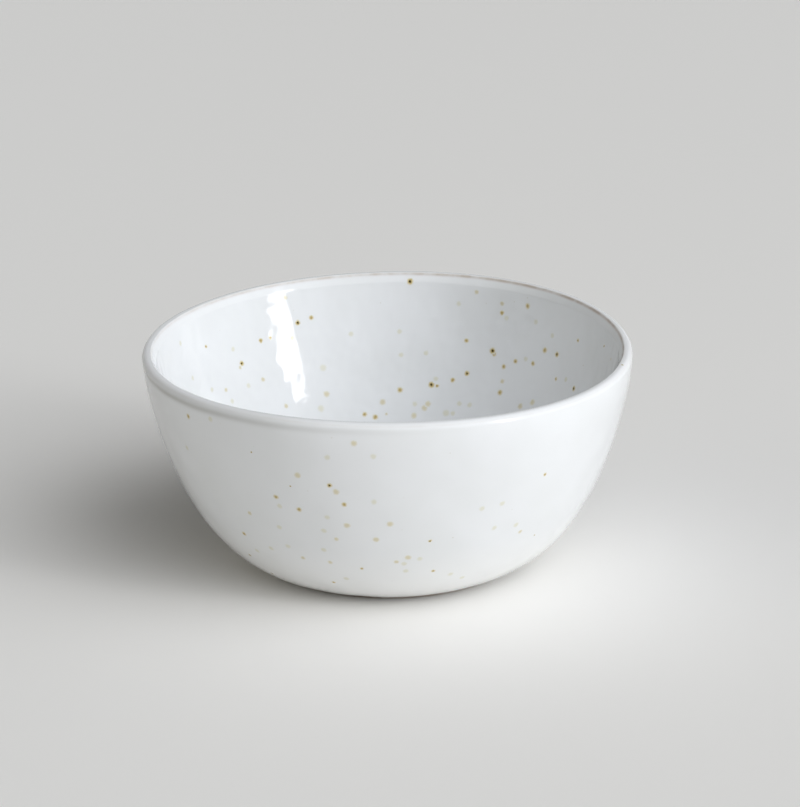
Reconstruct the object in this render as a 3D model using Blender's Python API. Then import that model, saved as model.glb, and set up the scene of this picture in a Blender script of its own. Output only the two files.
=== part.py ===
"""Main course bowl: hand-thrown stoneware with a glaze coat inside, outside and under the foot.

Metres, +Z up. The origin is on the surface that the bowl stands on, under the middle of its rim.
Every piece is turned from one outline of the bare clay, so the glaze coats follow the clay they cover.
"""

from math import atan2, cos, pi, radians, sin, tan

import bmesh
import bpy
from mathutils import Vector

# Overall size, measured over the glaze
RIM_DIAMETER = 0.180
HEIGHT = 0.082

# Lip, measured over the glaze, with the rounding of the clay's two edges under it
LIP_THICKNESS = 0.0036
LIP_EDGE_RADIUS = 0.0006

# Wall: its lean above the horizontal at each end, and how far each end holds that lean,
# as a share of the wall's reach from foot to rim and of its rise
WALL_LEAN_AT_FOOT = radians(8.0)
WALL_LEAN_AT_LIP = radians(81.3)
WALL_HOLD_AT_FOOT = 0.314
WALL_HOLD_AT_LIP = 0.71
WALL_THICKNESS_AT_FOOT = 0.0105

# Turned foot ring and the recess inside it
FOOT_DIAMETER = 0.089
FOOT_RING_WIDTH = 0.007
FOOT_EDGE_RADIUS = 0.0005
RECESS_DEPTH = 0.0025
RECESS_FILLET = 0.0015

# Glaze: the bare height below the outside coat, and the bare band round the patch in the recess
GLAZE_THICKNESS = 0.0005
GLAZE_LINE_HEIGHT = 0.0010
BARE_RECESS_BAND = 0.0020
BOND_GAP = 0.0003

# Hand work: the rim rises to one side and waves, and the foot is turned a little off centre
RIM_TILT = 0.0004
RIM_WAVE = 0.0008
RIM_WAVE_BEARING = radians(67.0)
RIM_RIPPLE = 0.0003
FOOT_OFFSET = 0.0010

# Facets
TURN_STEPS = 48
WALL_STEPS = 11
FLOOR_STEPS = 4
EDGE_STEPS = 3

# Sizes that follow from those above
COAT = BOND_GAP + GLAZE_THICKNESS
FOOT_RADIUS = FOOT_DIAMETER / 2
CLAY_RIM_RADIUS = RIM_DIAMETER / 2 - COAT
CLAY_HEIGHT = HEIGHT - COAT
CLAY_LIP_THICKNESS = LIP_THICKNESS - 2 * COAT
CLAY_FOOT_THICKNESS = WALL_THICKNESS_AT_FOOT - 2 * COAT
CLAY_EDGE_RADIUS = min(LIP_EDGE_RADIUS, (CLAY_LIP_THICKNESS - BOND_GAP) / 2)
LIP_FLAT = (CLAY_LIP_THICKNESS - 2 * CLAY_EDGE_RADIUS) / sin(WALL_LEAN_AT_LIP)
WALL_FOOT = Vector((FOOT_RADIUS, GLAZE_LINE_HEIGHT + COAT * cos(WALL_LEAN_AT_FOOT)))
LIP_OUTER_CENTRE = Vector((CLAY_RIM_RADIUS - CLAY_EDGE_RADIUS, CLAY_HEIGHT - CLAY_EDGE_RADIUS))
LIP_INNER_CENTRE = LIP_OUTER_CENTRE - Vector((LIP_FLAT, 0))


def heading(angle):
    """The unit direction at an angle above the outward horizontal, as (radius, height)."""
    return Vector((cos(angle), sin(angle)))


def arc(centre, radius, first, last, steps):
    """Stations round an arc: each is a point and the direction that its surface faces."""
    angles = [first + (last - first) * step / steps for step in range(steps + 1)]
    return [(centre + radius * heading(angle), heading(angle)) for angle in angles]


def wall_station(share):
    """The clay's outside at a share of the way from the foot up to the lip: a point and its facing."""
    top = LIP_OUTER_CENTRE + CLAY_EDGE_RADIUS * heading(WALL_LEAN_AT_LIP - pi / 2)
    reach = top.x - WALL_FOOT.x
    rise = top.y - WALL_FOOT.y
    low = WALL_FOOT + reach * WALL_HOLD_AT_FOOT * heading(WALL_LEAN_AT_FOOT)
    high = top - rise * WALL_HOLD_AT_LIP * heading(WALL_LEAN_AT_LIP)
    rest = 1 - share
    point = rest**3 * WALL_FOOT + 3 * rest**2 * share * low + 3 * rest * share**2 * high + share**3 * top
    course = rest**2 * (low - WALL_FOOT) + 2 * rest * share * (high - low) + share**2 * (top - high)
    return point, Vector((course.y, -course.x)).normalized()


def clay_outside():
    """Stations up the clay's outside, from the top of the foot ring to the lip's outer edge."""
    return [wall_station(step / WALL_STEPS) for step in range(WALL_STEPS + 1)]


def clay_thickness(share):
    """The clay's thickness at a share of the way up the wall. It eases at both ends, so nothing creases."""
    eased = share**2 * (3 - 2 * share)
    return CLAY_FOOT_THICKNESS + (CLAY_LIP_THICKNESS - CLAY_FOOT_THICKNESS) * eased


def clay_inside():
    """Stations down the clay's inside, from under the lip's inner edge to the wall's foot."""
    stations = []
    for step in range(WALL_STEPS - 1, -1, -1):
        share = step / WALL_STEPS
        point, facing = wall_station(share)
        stations.append((point - clay_thickness(share) * facing, -facing))
    return stations


def clay_floor(edge):
    """Stations across the dished floor, from the wall's foot in to the axis."""
    slope = tan(WALL_LEAN_AT_FOOT)
    dish = edge.x * slope / 2
    stations = []
    for step in range(1, FLOOR_STEPS + 1):
        share = 1 - step / FLOOR_STEPS
        point = Vector((edge.x * share, edge.y - dish * (1 - share**2)))
        stations.append((point, Vector((-slope * share, 1)).normalized()))
    return stations


def lip_outer_edge():
    """Stations round the lip's outer edge, from the wall to the flat crest."""
    return arc(LIP_OUTER_CENTRE, CLAY_EDGE_RADIUS, WALL_LEAN_AT_LIP - pi / 2, pi / 2, EDGE_STEPS)[1:]


def lip_inner_edge():
    """Stations round the lip's inner edge, from the flat crest to the inside wall."""
    return arc(LIP_INNER_CENTRE, CLAY_EDGE_RADIUS, pi / 2, WALL_LEAN_AT_LIP + pi / 2, EDGE_STEPS)


def crest_station(step_out):
    """A station on the flat crest, a distance outwards from its middle."""
    middle = (LIP_OUTER_CENTRE + LIP_INNER_CENTRE) / 2
    return middle + Vector((step_out, CLAY_EDGE_RADIUS)), heading(pi / 2)


def foot_ring():
    """Points under the clay, from the axis out through the recess and round the foot ring."""
    inner_radius = FOOT_RADIUS - FOOT_RING_WIDTH
    ceiling = RECESS_DEPTH + COAT
    corner = Vector((inner_radius - RECESS_FILLET, ceiling - RECESS_FILLET))
    inner = Vector((inner_radius + FOOT_EDGE_RADIUS, FOOT_EDGE_RADIUS))
    outer = Vector((FOOT_RADIUS - FOOT_EDGE_RADIUS, FOOT_EDGE_RADIUS))
    stations = arc(corner, RECESS_FILLET, pi / 2, 0, EDGE_STEPS)
    stations += arc(inner, FOOT_EDGE_RADIUS, pi, 3 * pi / 2, EDGE_STEPS)
    stations += arc(outer, FOOT_EDGE_RADIUS, -pi / 2, 0, EDGE_STEPS)
    return [Vector((0, ceiling))] + [point for point, facing in stations]


def lifted(stations, height):
    """The stations' points, lifted off the clay by a height."""
    return [point + height * facing for point, facing in stations]


def coat_outline(stations):
    """The outline of a glaze coat that lies over these stations."""
    return lifted(stations, COAT) + lifted(stations, BOND_GAP)[::-1]


def by_hand(point):
    """Where a turned point ends up on the hand-thrown bowl. The foot stays flat."""
    rise = point.z / HEIGHT
    bearing = atan2(point.y, point.x)
    wave = RIM_TILT * cos(bearing)
    wave += RIM_WAVE * cos(2 * (bearing - RIM_WAVE_BEARING))
    wave += RIM_RIPPLE * sin(3 * bearing)
    return point + Vector((FOOT_OFFSET * (1 - rise), 0, wave * rise**2))


def finish(name, colour, roughness):
    """A plain material of one colour and gloss."""
    material = bpy.data.materials.new(name)
    material.use_nodes = True
    shader = material.node_tree.nodes["Principled BSDF"]
    shader.inputs["Base Color"].default_value = (*colour, 1)
    shader.inputs["Roughness"].default_value = roughness
    shader.inputs["Metallic"].default_value = 0
    return material


def turned(name, outline, material):
    """A named object turned about the axis from an outline of (radius, height) points."""
    on_axis = 1e-6
    shape = bmesh.new()
    corners = [shape.verts.new((point.x, 0, point.y)) for point in outline]
    sides = []
    for corner, following in zip(corners, corners[1:] + corners[:1]):
        if max(corner.co.x, following.co.x) > on_axis:
            sides.append(shape.edges.new((corner, following)))
    bmesh.ops.spin(
        shape,
        geom=corners + sides,
        cent=(0, 0, 0),
        axis=(0, 0, 1),
        angle=2 * pi,
        steps=TURN_STEPS,
        use_merge=True,
    )
    bmesh.ops.remove_doubles(shape, verts=shape.verts, dist=on_axis)
    for corner in shape.verts:
        corner.co = by_hand(corner.co)
    bmesh.ops.recalc_face_normals(shape, faces=shape.faces)
    mesh = bpy.data.meshes.new(name)
    shape.to_mesh(mesh)
    shape.free()
    mesh.shade_smooth()
    mesh.set_sharp_from_angle(angle=radians(40))
    mesh.materials.append(material)
    piece = bpy.data.objects.new(name, mesh)
    bpy.context.collection.objects.link(piece)
    return piece


def stoneware_body():
    """The thrown clay: wall, floor and turned foot ring, bare only at the foot."""
    inside = clay_inside()
    floor = clay_floor(inside[-1][0])
    stations = clay_outside() + lip_outer_edge() + lip_inner_edge() + inside + floor
    outline = foot_ring() + lifted(stations, 0)
    return turned("stoneware_body", outline, finish("fired_clay", (0.56, 0.41, 0.29), 0.75))


def inside_glaze(white):
    """The coat poured inside, from the middle of the lip's crest down over the floor."""
    inside = clay_inside()
    floor = clay_floor(inside[-1][0])
    stations = [crest_station(-BOND_GAP / 2)] + lip_inner_edge() + inside + floor
    return turned("inside_glaze", coat_outline(stations), white)


def outside_glaze(white):
    """The coat dipped outside, from just above the foot ring up to the middle of the lip's crest."""
    wall = clay_outside()
    foot, facing = wall[0]
    edge = (foot + BOND_GAP * heading(WALL_LEAN_AT_FOOT), facing)
    stations = [edge] + wall[1:] + lip_outer_edge() + [crest_station(BOND_GAP / 2)]
    return turned("outside_glaze", coat_outline(stations), white)


def underside_glaze(white):
    """The patch of glaze in the recess, inside a bare band along the foot ring."""
    radius = FOOT_RADIUS - FOOT_RING_WIDTH - RECESS_FILLET - BARE_RECESS_BAND
    ceiling = RECESS_DEPTH + COAT
    down = heading(-pi / 2)
    stations = [(Vector((radius, ceiling)), down), (Vector((0, ceiling)), down)]
    return turned("underside_glaze", coat_outline(stations), white)


def main():
    """Clears the scene and models the bowl."""
    for old in list(bpy.data.objects):
        bpy.data.objects.remove(old, do_unlink=True)
    white = finish("white_glaze", (0.83, 0.84, 0.84), 0.12)
    stoneware_body()
    inside_glaze(white)
    outside_glaze(white)
    underside_glaze(white)


main()
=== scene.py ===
"""Main course bowl: the finished looks of a hand-thrown stoneware bowl in a speckled white glaze.

Metres, +Z up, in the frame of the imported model. The clay, the coat poured inside, the coat dipped outside
and the patch of glaze under the foot are turned again here with fine surfaces, and each stands for its
plain solid. Outlines are drawn in (radius, height) and turned about the upright axis, as on a wheel.
"""

from __future__ import annotations

import logging
import random
from collections.abc import Callable
from dataclasses import dataclass, field
from enum import Enum
from math import atan, cos, hypot, pi, radians, sin, tan
from typing import Any, ClassVar

import bpy
import numpy as np
from mathutils import Euler, Matrix, Vector
from mathutils.kdtree import KDTree


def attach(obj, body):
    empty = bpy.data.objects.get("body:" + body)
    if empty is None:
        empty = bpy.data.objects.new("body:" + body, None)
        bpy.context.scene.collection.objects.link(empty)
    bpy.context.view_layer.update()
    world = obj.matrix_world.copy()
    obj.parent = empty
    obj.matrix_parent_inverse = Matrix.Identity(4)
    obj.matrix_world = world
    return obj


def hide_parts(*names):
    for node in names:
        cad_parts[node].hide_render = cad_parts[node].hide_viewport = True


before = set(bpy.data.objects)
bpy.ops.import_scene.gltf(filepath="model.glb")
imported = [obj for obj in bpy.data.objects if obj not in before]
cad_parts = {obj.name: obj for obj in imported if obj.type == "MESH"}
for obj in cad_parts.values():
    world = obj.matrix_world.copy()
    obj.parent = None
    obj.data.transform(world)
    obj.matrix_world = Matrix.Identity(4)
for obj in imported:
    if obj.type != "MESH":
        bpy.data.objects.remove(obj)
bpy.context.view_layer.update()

LOG = logging.getLogger("bowl")
PICTURE_SIZE = (800, 807)
BAKE_MAP = "OFBake"

Colour = tuple[float, float, float]
Pixel = tuple[float, float]
Span = tuple[float, float]


class SpeckKind(Enum):
    """How strongly a grain of iron shows through the glaze, from 0 for not at all to 1 for a black core."""

    IRON = 1.0
    OCHRE = 0.65
    PALE = 0.38
    FAINT = 0.15


class Roughening(Enum):
    """How much finer detail a noise has on its clouds."""

    NONE = 0.0
    LITTLE = 1.0
    SOME = 2.0
    MUCH = 3.0


def heading(angle: float) -> Vector:
    """The unit direction at an angle above the outward horizontal, as (radius, height)."""
    return Vector((cos(angle), sin(angle)))


def eased(share: Any) -> Any:
    """A share from 0 to 1 that starts and ends level."""
    clamped = np.clip(share, 0.0, 1.0)
    return clamped * clamped * (3 - 2 * clamped)


def bearings(points: np.ndarray) -> np.ndarray:
    """The bearing of each point about the axis."""
    return np.arctan2(points[:, 1], points[:, 0])


def reaches(points: np.ndarray) -> np.ndarray:
    """How far each point lies from the axis."""
    return np.hypot(points[:, 0], points[:, 1])


@dataclass(frozen=True)
class Station:
    """A place on an outline and the way its surface faces there, both as (radius, height)."""

    point: Vector
    facing: Vector

    def lifted(self, height: float) -> Station:
        """The station at a height above its own surface."""
        return Station(self.point + self.facing * height, self.facing)


def arc(centre: Vector, radius: float, first: float, last: float, steps: int) -> list[Station]:
    """Stations round an arc.

    Args:
        centre: The arc's centre.
        radius: The arc's radius.
        first: The angle of the first station above the outward horizontal.
        last: The angle of the last station.
        steps: How many steps lead from the first to the last.

    Returns:
        The stations, facing away from the centre.
    """
    angles = [first + (last - first) * step / steps for step in range(steps + 1)]
    return [Station(centre + radius * heading(angle), heading(angle)) for angle in angles]


@dataclass(frozen=True)
class Sweep:
    """A smooth stretch of outline between two places, which the handles at its ends steer."""

    start: Vector
    start_handle: Vector
    end_handle: Vector
    end: Vector

    def station(self, share: float) -> Station:
        """The place at a share of the way along, facing to the right of the course."""
        rest = 1 - share
        point = rest**3 * self.start + 3 * rest**2 * share * self.start_handle
        point += 3 * rest * share**2 * self.end_handle + share**3 * self.end
        course = rest**2 * (self.start_handle - self.start) + share**2 * (self.end - self.end_handle)
        course += 2 * rest * share * (self.end_handle - self.start_handle)
        return Station(point, Vector((course.y, -course.x)).normalized())


@dataclass(frozen=True)
class ThrownShape:
    """The bowl's sizes over the glaze, the outlines that follow from them, and the marks of the hand."""

    rim_diameter: float = 0.180
    height: float = 0.082
    lip_thickness: float = 0.0036
    lip_outer_radius: float = 0.0020
    lip_inner_radius: float = 0.0006
    lip_flat: float = 0.0008
    lip_inner_turn: float = radians(62)
    bevel_hold: float = 0.0030
    bevel_share: float = 0.016
    under_bevel_hold: float = 0.0008
    under_lip_swell: float = 0.00145
    thickening: float = 0.8
    bead_swell: float = 0.00015
    lip_roll: float = 0.0003
    soft_bearing: float = radians(-20)
    close_under_lip: float = 0.03
    wall_lean_at_foot: float = radians(8.0)
    wall_lean_at_lip: float = radians(81.3)
    wall_turn_in: float = 0.00058
    wall_turn_depth: float = 0.0100
    wall_hold_at_foot: float = 0.326
    wall_hold_at_lip: float = 0.71
    wall_thickness_at_foot: float = 0.0105
    foot_diameter: float = 0.089
    foot_ring_width: float = 0.007
    foot_edge_radius: float = 0.0005
    recess_depth: float = 0.0025
    recess_fillet: float = 0.0015
    glaze_thickness: float = 0.0005
    glaze_line_height: float = 0.0010
    bare_recess_band: float = 0.0020
    bond_gap: float = 0.0003
    rim_tilt: float = 0.0004
    rim_wave: float = 0.0008
    rim_wave_bearing: float = radians(67.0)
    rim_ripple: float = 0.0003
    foot_offset: float = 0.0007

    @property
    def coat(self) -> float:
        """How far the glaze's surface stands off the clay."""
        return self.bond_gap + self.glaze_thickness

    @property
    def foot_radius(self) -> float:
        """The outside radius of the foot ring."""
        return self.foot_diameter / 2

    @property
    def lip_outer_centre(self) -> Vector:
        """The centre of the rounding at the lip's outer edge."""
        reach = self.rim_diameter / 2 - self.bead_swell - self.lip_outer_radius
        return Vector((reach, self.height - self.lip_outer_radius))

    @property
    def lip_inner_centre(self) -> Vector:
        """The centre of the rounding at the lip's inner edge."""
        return self.lip_outer_centre + Vector((-self.lip_flat, self.lip_outer_radius - self.lip_inner_radius))

    @property
    def lip_start(self) -> float:
        """The angle at which the lip's outer edge leaves the wall, above the outward horizontal."""
        return atan(2 * self.wall_turn_in / self.wall_turn_depth - 1 / tan(self.wall_lean_at_lip))

    def sweep(self, share: float) -> Station:
        """The wall's plain sweep over the glaze, at a share of the way from the foot up to the lip."""
        foot = Vector((self.foot_radius, self.glaze_line_height))
        foot += self.coat * heading(self.wall_lean_at_foot - pi / 2) + self.coat * heading(pi / 2)
        top = self.lip_outer_centre + self.lip_outer_radius * heading(self.lip_start)
        top += Vector((self.wall_turn_in, 0))
        low = foot + (top.x - foot.x) * self.wall_hold_at_foot * heading(self.wall_lean_at_foot)
        high = top - (top.y - foot.y) * self.wall_hold_at_lip * heading(self.wall_lean_at_lip)
        return Sweep(foot, low, high, top).station(share)

    def wall(self, share: float) -> Station:
        """The glaze's outside at a share of the way from the foot up to the lip, turned in near the lip."""
        station = self.sweep(share)
        near = max(0.0, 1 - (self.sweep(1).point.y - station.point.y) / self.wall_turn_depth)
        lean = 2 * near * self.wall_turn_in / self.wall_turn_depth
        facing = station.facing + Vector((0, lean * station.facing.x))
        return Station(station.point - Vector((self.wall_turn_in * near**2, 0)), facing.normalized())

    def thickness(self, share: float) -> float:
        """The wall's thickness over the glaze at a share of the way from the foot up to the lip."""
        under_lip = self.lip_thickness + self.under_lip_swell
        return under_lip + (self.wall_thickness_at_foot - under_lip) * (1 - share) ** self.thickening

    def outside(self, steps: int, lip_steps: int = 1) -> list[Station]:
        """Stations up the glaze's outside, from the glaze line to the lip, the last few closer together."""
        turn = 1 - self.close_under_lip
        shares = [turn * step / steps for step in range(steps)]
        shares += [turn + self.close_under_lip * step / lip_steps for step in range(lip_steps + 1)]
        return [self.wall(share) for share in shares]

    def lip_outside(self, steps: int) -> list[Station]:
        """Stations round the lip's outer edge, from just above the wall up to the crest."""
        return arc(self.lip_outer_centre, self.lip_outer_radius, self.lip_start, pi / 2, steps)[1:]

    def crest(self, steps: int) -> list[Station]:
        """Stations across the flat crest, from its outer end to its inner end."""
        outer = self.lip_outer_centre + Vector((0, self.lip_outer_radius))
        inner = self.lip_inner_centre + Vector((0, self.lip_inner_radius))
        return [Station(outer.lerp(inner, step / steps), heading(pi / 2)) for step in range(steps + 1)]

    def inner_wall(self, share: float) -> Station:
        """The glaze's inside at a share of the way from the foot up to the lip."""
        station = self.sweep(share)
        return Station(station.point, -station.facing).lifted(self.thickness(share))

    def lip_inside(self, steps: int, soft_steps: int) -> list[Station]:
        """Stations from the crest round the lip's inner edge and down a bevel that eases to the wall."""
        last = pi / 2 + self.lip_inner_turn
        edge = arc(self.lip_inner_centre, self.lip_inner_radius, pi / 2, last, steps)
        wall = self.inner_wall(1 - self.bevel_share)
        up = Vector((wall.facing.y, -wall.facing.x))
        start = edge[-1].point
        leave = start + self.bevel_hold * heading(last + pi / 2)
        bevel = Sweep(start, leave, wall.point + self.under_bevel_hold * up, wall.point)
        return edge + [bevel.station(step / soft_steps) for step in range(1, soft_steps + 1)]

    def inside(self, steps: int) -> list[Station]:
        """Stations down the glaze's inside, from below the lip's bevel to the edge of the floor."""
        top = 1 - self.bevel_share
        return [self.inner_wall(top * (1 - step / steps)) for step in range(1, steps + 1)]

    def floor(self, steps: int) -> list[Station]:
        """Stations across the dished floor inside, from the wall's foot in to the axis."""
        edge = self.inside(1)[-1].point
        slope = tan(self.wall_lean_at_foot)
        dish = edge.x * slope / 2
        stations = []
        for step in range(1, steps + 1):
            share = 1 - step / steps
            point = Vector((edge.x * share, edge.y - dish * (1 - share**2)))
            stations.append(Station(point, Vector((-slope * share, 1)).normalized()))
        return stations

    def under_foot(self, steps: int) -> list[Station]:
        """Stations under the clay, from the axis out through the recess and round the foot ring."""
        inner_radius = self.foot_radius - self.foot_ring_width
        ceiling = self.recess_depth + self.coat
        corner = Vector((inner_radius - self.recess_fillet, ceiling - self.recess_fillet))
        inner = Vector((inner_radius + self.foot_edge_radius, self.foot_edge_radius))
        outer = Vector((self.foot_radius - self.foot_edge_radius, self.foot_edge_radius))
        stations = [Station(Vector((0, ceiling)), heading(-pi / 2))]
        stations += arc(corner, self.recess_fillet, pi / 2, 0, steps)
        stations += arc(inner, self.foot_edge_radius, pi, 3 * pi / 2, steps)
        stations += arc(outer, self.foot_edge_radius, -pi / 2, 0, steps)
        return stations

    def by_hand(self, points: np.ndarray) -> np.ndarray:
        """Where turned points end up on the hand-thrown bowl. The foot stays flat.

        Args:
            points: Rows of x, y and z as turned.

        Returns:
            Rows of x, y and z with the rim's waves, the lip's roll and the foot a little off centre.
        """
        rise = points[:, 2] / self.height
        bearing = bearings(points)
        wave = self.rim_tilt * np.cos(bearing)
        wave += self.rim_wave * np.cos(2 * (bearing - self.rim_wave_bearing))
        wave += self.rim_ripple * np.sin(3 * bearing)
        start = self.lip_inner_centre.x
        out = np.clip((reaches(points) - start) / (self.rim_diameter / 2 - start), 0, 1)
        moved = points.copy()
        moved[:, 0] += self.foot_offset * (1 - rise)
        moved[:, 2] += wave * rise**2 - self.lip_roll * self.softness(bearing) * out**2
        return moved

    def softness(self, bearing: np.ndarray) -> np.ndarray:
        """How softly the lip is rolled, from 0 on its crisp side to 1 on the side across from it."""
        return (1 + np.cos(bearing - self.soft_bearing)) / 2


def math_operator(operation: str, reflected: bool = False) -> Callable[[Shade, Any], Shade]:
    """One of Python's operators for shades, as a method that adds a Math node.

    Args:
        operation: The Math node's operation.
        reflected: Whether the shade stands to the right of the operator.

    Returns:
        The method.
    """

    def method(self: Shade, other: Any) -> Shade:
        """The operator's result."""
        return self.math(operation, other, self) if reflected else self.math(operation, self, other)

    return method


class Shade:
    """A number that varies over a surface. Python's operators on it add Math nodes to the material."""

    def __init__(self, sheet: NodeSheet, socket: bpy.types.NodeSocket) -> None:
        """Wraps a node's output socket on its sheet."""
        self.sheet = sheet
        self.socket = socket

    def math(self, operation: str, first: Any, second: Any = 0.0) -> Shade:
        """The result of one Math node on two numbers or shades."""
        return self.sheet.shade("ShaderNodeMath", {"operation": operation}, {0: first, 1: second})

    __add__ = math_operator("ADD")
    __radd__ = math_operator("ADD", reflected=True)
    __sub__ = math_operator("SUBTRACT")
    __rsub__ = math_operator("SUBTRACT", reflected=True)
    __mul__ = math_operator("MULTIPLY")
    __rmul__ = math_operator("MULTIPLY", reflected=True)
    __truediv__ = math_operator("DIVIDE")
    __rtruediv__ = math_operator("DIVIDE", reflected=True)
    __pow__ = math_operator("POWER")
    __rpow__ = math_operator("POWER", reflected=True)

    def at_least(self, other: Any) -> Shade:
        """The larger of this shade and another."""
        return self.math("MAXIMUM", self, other)

    def ramp(self, low: float, high: float) -> Shade:
        """A share that eases from 0 where this shade is at low to 1 where it is at high."""
        settings = {"interpolation_type": "SMOOTHSTEP"}
        inputs = {"Value": self, "From Min": low, "From Max": high}
        return self.sheet.shade("ShaderNodeMapRange", settings, inputs)


class NodeSheet:
    """A material's or the world's nodes, added one call at a time."""

    # The Mix node's sockets for a share and two colours go by number, because their names repeat.
    mix_inputs: ClassVar[tuple[int, int, int]] = (0, 6, 7)
    mix_output: ClassVar[int] = 2

    def __init__(self, owner: bpy.types.Material | bpy.types.World) -> None:
        """Turns the owner's nodes on and clears them."""
        owner.use_nodes = True
        self.tree = owner.node_tree
        self.tree.nodes.clear()

    def node(self, kind: str, settings: dict[str, Any], inputs: dict[Any, Any]) -> bpy.types.Node:
        """Adds a node.

        Args:
            kind: The node's type.
            settings: Its properties, which are set first.
            inputs: Values, shades or output sockets, by the input's name or number.

        Returns:
            The new node.
        """
        node = self.tree.nodes.new(kind)
        for name, value in settings.items():
            setattr(node, name, value)
        for name, value in inputs.items():
            source = value.socket if isinstance(value, Shade) else value
            if isinstance(source, bpy.types.NodeSocket):
                self.tree.links.new(source, node.inputs[name])
            else:
                node.inputs[name].default_value = source
        return node

    def shade(self, kind: str, settings: dict[str, Any], inputs: dict[Any, Any], output: Any = 0) -> Shade:
        """Adds a node and wraps one of its outputs."""
        return Shade(self, self.node(kind, settings, inputs).outputs[output])

    def place(self, output: str = "Object") -> bpy.types.NodeSocket:
        """Where the surface is, in the piece's own coordinates, or which way the world is looked at."""
        return self.node("ShaderNodeTexCoord", {}, {}).outputs[output]

    def painted(self, name: str, output: str) -> Shade:
        """What is painted on the piece under a name."""
        return self.shade("ShaderNodeAttribute", {"attribute_name": name}, {}, output)

    def noise(
        self, place: Any, size: float, detail: Roughening = Roughening.SOME, output: str = "Fac"
    ) -> Shade:
        """Cloudy noise from 0 to 1 whose patches are about a size across."""
        inputs = {"Vector": place, "Scale": 1 / size, "Detail": detail.value}
        return self.shade("ShaderNodeTexNoise", {"noise_dimensions": "3D"}, inputs, output)

    def dots(self, place: Any, spacing: float, inner: float, outer: float) -> Shade:
        """Scattered dots, a spacing apart: 1 inside the inner radius, 0 past the outer, in spacings."""
        cells = {"Vector": place, "Scale": 1 / spacing}
        return 1 - self.shade("ShaderNodeTexVoronoi", {"feature": "F1"}, cells, "Distance").ramp(inner, outer)

    def mixed(self, share: Shade, first: Any, second: Any) -> bpy.types.NodeSocket:
        """A colour that goes from the first to the second as a share goes from 0 to 1."""
        colours = [(*c, 1.0) if isinstance(c, tuple) else c for c in (first, second)]
        inputs = dict(zip(self.mix_inputs, (share, *colours)))
        return self.node("ShaderNodeMix", {"data_type": "RGBA"}, inputs).outputs[self.mix_output]

    def vector(self, operation: str, first: Any, second: Any, output: str = "Vector") -> Shade:
        """One step of vector arithmetic."""
        return self.shade("ShaderNodeVectorMath", {"operation": operation}, {0: first, 1: second}, output)

    def bump(self, height: Shade, distance: float) -> bpy.types.NodeSocket:
        """The normal of a surface raised by a height of 0 to 1 times a distance."""
        return self.node("ShaderNodeBump", {}, {"Height": height, "Distance": distance}).outputs["Normal"]

    def surface(self, inputs: dict[str, Any]) -> None:
        """Ends the sheet in a Principled surface with these inputs."""
        shader = self.node("ShaderNodeBsdfPrincipled", {}, inputs)
        self.node("ShaderNodeOutputMaterial", {}, {"Surface": shader.outputs["BSDF"]})


@dataclass(frozen=True)
class Finish:
    """The look of a material."""

    name: str = ""

    def lay(self, sheet: NodeSheet) -> None:
        """Lays the look out as nodes on a sheet."""
        raise NotImplementedError

    def material(self) -> bpy.types.Material:
        """The finish as a material."""
        material = bpy.data.materials.new(self.name)
        self.lay(NodeSheet(material))
        return material


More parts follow.
